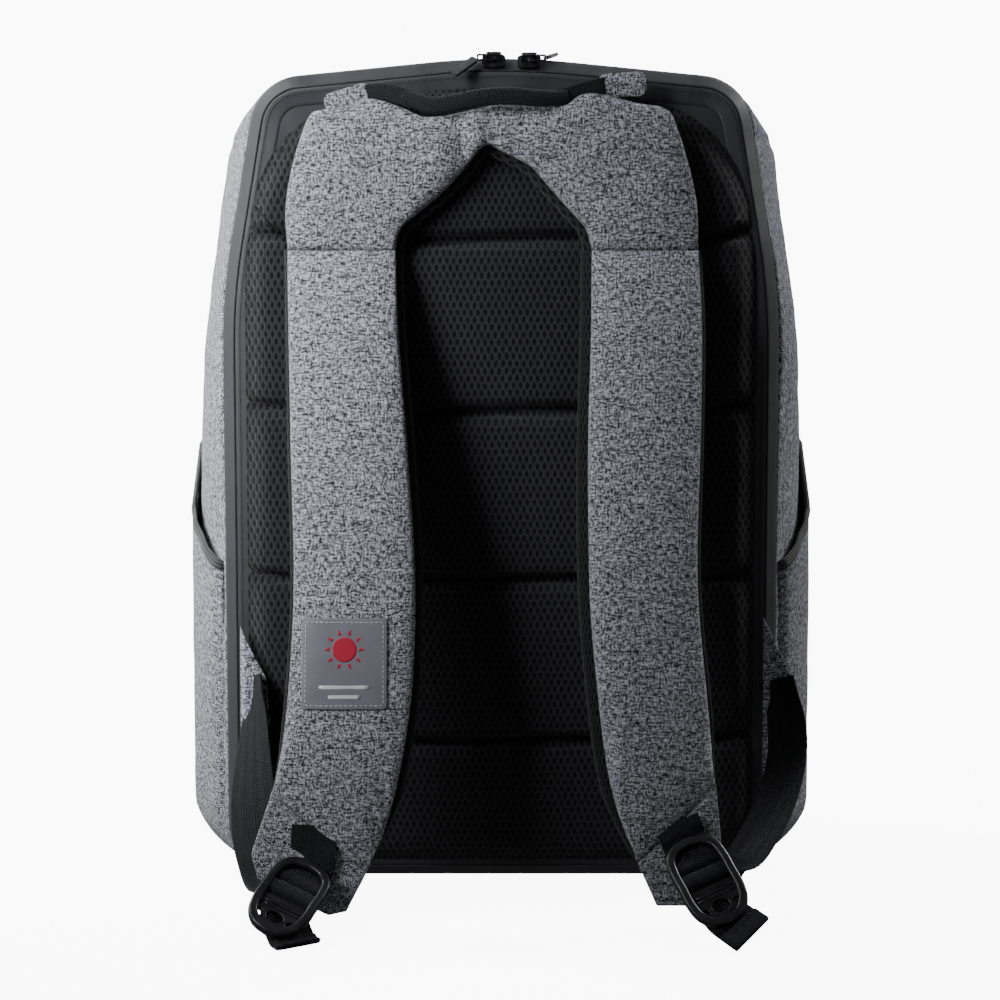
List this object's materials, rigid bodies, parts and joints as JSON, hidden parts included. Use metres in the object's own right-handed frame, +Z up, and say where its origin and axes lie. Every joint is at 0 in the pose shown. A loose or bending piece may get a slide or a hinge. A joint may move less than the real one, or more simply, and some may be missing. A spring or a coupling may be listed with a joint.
{
  "type": "solar backpack",
  "caption": "Upright daypack with a zip-round back panel, padded curved shoulder straps, mesh back padding and a solar module on its front.",
  "frame": {"origin": "centre of the flat base, on the plane that the bag stands on", "axes": "+Z up, -Y towards the wearer's side with the harness, +Y towards the solar front, +X to the right of someone facing the harness"},
  "size_m": [0.3636, 0.3091, 0.4646],
  "materials": {
    "heather_fabric": "heather woven polyester",
    "coated_fabric": "coated woven polyester, satin",
    "air_mesh": "three-layer knitted spacer mesh",
    "lining_fabric": "plain woven lining",
    "webbing": "ribbed polyester webbing",
    "elastic": "folded elastic binding",
    "foam": "open-cell foam",
    "label": "stitched woven patch",
    "pe_board": "polyethylene sheet",
    "buckle_plastic": "moulded acetal, fine texture",
    "zip_coil": "nylon coil",
    "zip_metal": "dark painted zinc",
    "pull_rubber": "moulded pull",
    "solar_front": "embossed clear front sheet over a dark back sheet",
    "solar_cell": "monocrystalline silicon under a clear sheet",
    "module_border": "smooth polyurethane sheet",
    "box_plastic": "moulded, satin",
    "lead_sheath": "smooth jacket",
    "usb_metal": "nickel plated",
    "port_rubber": "soft moulded"
  },
  "bodies": {
    "bag": {"base_panel": "heather_fabric", "top_panel": "heather_fabric", "side_panel_left": "heather_fabric", "side_panel_right": "heather_fabric", "divider_panel": "lining_fabric", "laptop_sleeve": "lining_fabric", "front_pocket_shell": "heather_fabric", "side_pocket_left": "heather_fabric", "side_pocket_right": "heather_fabric", "pocket_elastic_left": "elastic", "pocket_elastic_right": "elastic", "zip_track_shell": "coated_fabric", "solar_border": "module_border", "solar_laminate": "solar_front", "solar_cells": "solar_cell", "junction_box": "box_plastic", "junction_box_lid": "box_plastic", "panel_lead": "lead_sheath", "usb_housing": "box_plastic", "usb_socket": "usb_metal", "front_zip_track": "zip_coil"},
    "back_panel": {"back_border": "coated_fabric", "zip_track_panel": "zip_coil", "back_board": "pe_board", "back_pads": "foam", "mesh_cover": "air_mesh", "harness_yoke": "heather_fabric", "handle_tab_left": "heather_fabric", "handle_tab_right": "heather_fabric", "wing_left": "heather_fabric", "wing_right": "heather_fabric", "lower_webbing_left": "webbing", "lower_webbing_right": "webbing"},
    "strap_left": {"strap_left": "heather_fabric", "strap_lining_left": "air_mesh", "strap_end_left": "heather_fabric", "label_patch": "label", "anchor_webbing_left": "webbing", "ladder_lock_left": "buckle_plastic"},
    "strap_right": {"strap_right": "heather_fabric", "strap_lining_right": "air_mesh", "strap_end_right": "heather_fabric", "anchor_webbing_right": "webbing", "ladder_lock_right": "buckle_plastic"},
    "tail_left": {"webbing_tail_left": "webbing"},
    "tail_right": {"webbing_tail_right": "webbing"},
    "handle": {"handle_grip": "webbing", "handle_webbing": "webbing"},
    "slider_left": {"zip_slider_left": "zip_metal"},
    "slider_right": {"zip_slider_right": "zip_metal"},
    "pull_left": {"zip_link_left": "zip_metal", "zip_tab_left": "pull_rubber"},
    "pull_right": {"zip_link_right": "zip_metal", "zip_tab_right": "pull_rubber"},
    "usb_flap": {"usb_cover": "port_rubber"},
    "front_slider": {"front_zip_slider": "zip_metal"},
    "front_pull": {"front_zip_pull": "pull_rubber"}
  },
  "joints": [
    {"name": "back_panel_opening", "type": "hinge", "parent": "bag", "child": "back_panel", "pos_m": [0, -0.081, 0.0074], "axis": [1, 0, 0], "range_deg": [0, 90]},
    {"name": "strap_left_swing", "type": "hinge", "parent": "back_panel", "child": "strap_left", "pos_m": [-0.087, -0.1055, 0.355], "axis": [-1, 0, 0], "range_deg": [0, 25], "deforming": ["lower_webbing_left"]},
    {"name": "strap_right_swing", "type": "hinge", "parent": "back_panel", "child": "strap_right", "pos_m": [0.0785, -0.1055, 0.355], "axis": [-1, 0, 0], "range_deg": [0, 25], "deforming": ["lower_webbing_right"]},
    {"name": "tail_left_slide", "type": "slide", "parent": "strap_left", "child": "tail_left", "axis": [-0.3998, -0.8096, -0.4298], "range_m": [0, 0.02]},
    {"name": "tail_right_slide", "type": "slide", "parent": "strap_right", "child": "tail_right", "axis": [0.399, -0.6583, -0.6383], "range_m": [0, 0.02]},
    {"name": "handle_swing", "type": "hinge", "parent": "back_panel", "child": "handle", "pos_m": [-0.0095, -0.099, 0.4445], "axis": [-0.9998, 0, -0.0199], "range_deg": [0, 75], "deforming": ["handle_webbing"]},
    {"name": "slider_left_travel", "type": "slide", "parent": "bag", "child": "slider_left", "axis": [-0.9968, 0, -0.0797], "range_m": [0, 0.085]},
    {"name": "slider_right_travel", "type": "slide", "parent": "bag", "child": "slider_right", "axis": [0.9961, 0, -0.0886], "range_m": [0, 0.08]},
    {"name": "pull_left_flip", "type": "hinge", "parent": "slider_left", "child": "pull_left", "pos_m": [-0.004, -0.08032, 0.46038], "axis": [0, 0.7071, 0.7071], "range_deg": [0, 100]},
    {"name": "pull_right_flip", "type": "hinge", "parent": "slider_right", "child": "pull_right", "pos_m": [0.0155, -0.08032, 0.4601], "axis": [0, -0.7071, -0.7071], "range_deg": [0, 100]},
    {"name": "usb_flap_hinge", "type": "hinge", "parent": "bag", "child": "usb_flap", "pos_m": [0.1648, 0.042, 0.307], "axis": [0, -1, 0], "range_deg": [0, 110]},
    {"name": "front_slider_travel", "type": "slide", "parent": "bag", "child": "front_slider", "axis": [1, 0, 0], "range_m": [0, 0.14]},
    {"name": "front_pull_flip", "type": "hinge", "parent": "front_slider", "child": "front_pull", "pos_m": [-0.07, 0.0839, 0.38625], "axis": [1, 0, 0], "range_deg": [0, 120]}
  ]
}
